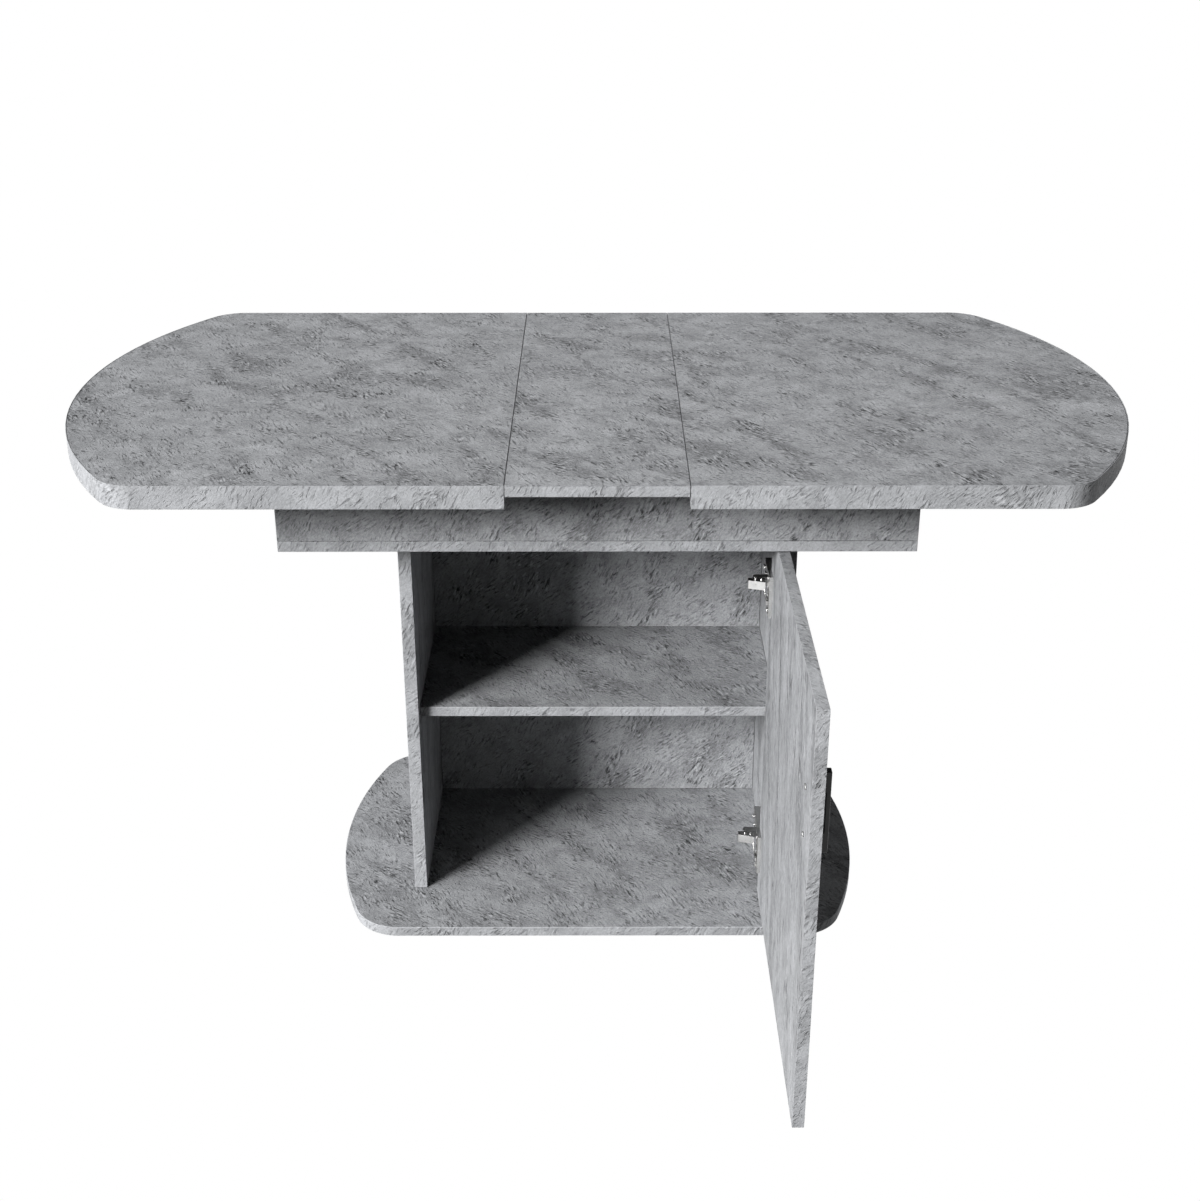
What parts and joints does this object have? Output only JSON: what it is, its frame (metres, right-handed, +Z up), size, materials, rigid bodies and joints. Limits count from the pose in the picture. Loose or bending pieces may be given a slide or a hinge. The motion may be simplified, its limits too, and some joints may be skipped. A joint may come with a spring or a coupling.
{
  "type": "extendable dining table",
  "caption": "Round-ended pedestal dining table that extends with a loose centre leaf; its column is a cabinet with a shelf and a hinged door.",
  "frame": {"origin": "on the floor under the middle of the table, at the centre glide", "axes": "+X along the length of the top, +Y towards the back of the cabinet, +Z up"},
  "size_m": [1.442, 1.0555, 0.754],
  "materials": {
    "concrete_laminate": "matt grey concrete-look laminate on chipboard",
    "beech": "planed and oiled",
    "nylon": "moulded",
    "plated_steel": "nickel-plated",
    "black_metal": "satin black",
    "felt": "pressed felt"
  },
  "bodies": {
    "frame": {"apron_back_board": "concrete_laminate", "apron_bottom_panel": "concrete_laminate", "apron_front_board": "concrete_laminate", "apron_left_end": "concrete_laminate", "apron_right_end": "concrete_laminate", "back_centre_rail": "beech", "back_left_glide": "felt", "back_left_shelf_pin": "plated_steel", "back_pinion_axle": "plated_steel", "back_right_glide": "felt", "back_right_shelf_pin": "plated_steel", "base_plate": "concrete_laminate", "centre_glide": "felt", "column_back_panel": "concrete_laminate", "column_left_side": "concrete_laminate", "column_right_side": "concrete_laminate", "front_centre_rail": "beech", "front_left_glide": "felt", "front_left_shelf_pin": "plated_steel", "front_pinion_axle": "plated_steel", "front_right_glide": "felt", "front_right_shelf_pin": "plated_steel", "lower_hinge_arm": "plated_steel", "lower_hinge_depth_screw": "plated_steel", "lower_hinge_mounting_plate": "plated_steel", "lower_hinge_plate_bottom_screw": "plated_steel", "lower_hinge_plate_top_screw": "plated_steel", "lower_hinge_side_screw": "plated_steel", "shelf": "concrete_laminate", "upper_hinge_arm": "plated_steel", "upper_hinge_depth_screw": "plated_steel", "upper_hinge_mounting_plate": "plated_steel", "upper_hinge_plate_bottom_screw": "plated_steel", "upper_hinge_plate_top_screw": "plated_steel", "upper_hinge_side_screw": "plated_steel"},
    "left_half": {"left_top_panel": "concrete_laminate", "left_edge_band": "concrete_laminate", "left_edge_doubler": "concrete_laminate", "front_left_rail": "beech", "back_left_rail": "beech"},
    "right_half": {"right_top_panel": "concrete_laminate", "right_edge_band": "concrete_laminate", "right_edge_doubler": "concrete_laminate", "front_right_rail": "beech", "back_right_rail": "beech"},
    "leaf": {"extension_leaf": "concrete_laminate"},
    "front_gear": {"front_pinion": "nylon"},
    "back_gear": {"back_pinion": "nylon"},
    "door": {"door_handle": "black_metal", "door_panel": "concrete_laminate", "lower_handle_screw": "plated_steel", "lower_hinge_cup": "plated_steel", "lower_hinge_cup_bottom_screw": "plated_steel", "lower_hinge_cup_top_screw": "plated_steel", "upper_handle_screw": "plated_steel", "upper_hinge_cup": "plated_steel", "upper_hinge_cup_bottom_screw": "plated_steel", "upper_hinge_cup_top_screw": "plated_steel"},
    "hinge_links": {"lower_hinge_link": "plated_steel", "upper_hinge_link": "plated_steel"}
  },
  "joints": [
    {"name": "left_half_slide", "type": "slide", "parent": "frame", "child": "left_half", "axis": [-1, 0, 0], "range_m": [-0.112, 0]},
    {"name": "right_half_slide", "type": "slide", "parent": "frame", "child": "right_half", "axis": [1, 0, 0], "range_m": [-0.112, 0]},
    {"name": "leaf_lift", "type": "slide", "parent": "frame", "child": "leaf", "axis": [0, 0, 1], "range_m": [0, 0.448]},
    {"name": "front_gear_spin", "type": "hinge", "parent": "frame", "child": "front_gear", "pos_m": [0, -0.18, 0.706], "axis": [0, 0, 1], "range_deg": [0, 306]},
    {"name": "back_gear_spin", "type": "hinge", "parent": "frame", "child": "back_gear", "pos_m": [0, 0.18, 0.706], "axis": [0, 0, 1], "range_deg": [0, 306]},
    {"name": "door_swing", "type": "hinge", "parent": "frame", "child": "door", "pos_m": [0.2601, -0.1574, 0.31], "axis": [0, 0, 1], "range_deg": [-90, 0]},
    {"name": "hinge_link_swing", "type": "hinge", "parent": "frame", "child": "hinge_links", "pos_m": [0.222, -0.124, 0.31], "axis": [0, 0, 1], "range_deg": [-99.5, 0]}
  ],
  "couplings": [
    {"joint": "right_half_slide", "follows": "left_half_slide", "ratio": 1},
    {"joint": "leaf_lift", "follows": "left_half_slide", "ratio": -4},
    {"joint": "front_gear_spin", "follows": "left_half_slide", "rad_per_m": -47.619},
    {"joint": "back_gear_spin", "follows": "left_half_slide", "rad_per_m": -47.619},
    {"joint": "hinge_link_swing", "follows": "door_swing", "ratio": 1.1}
  ]
}
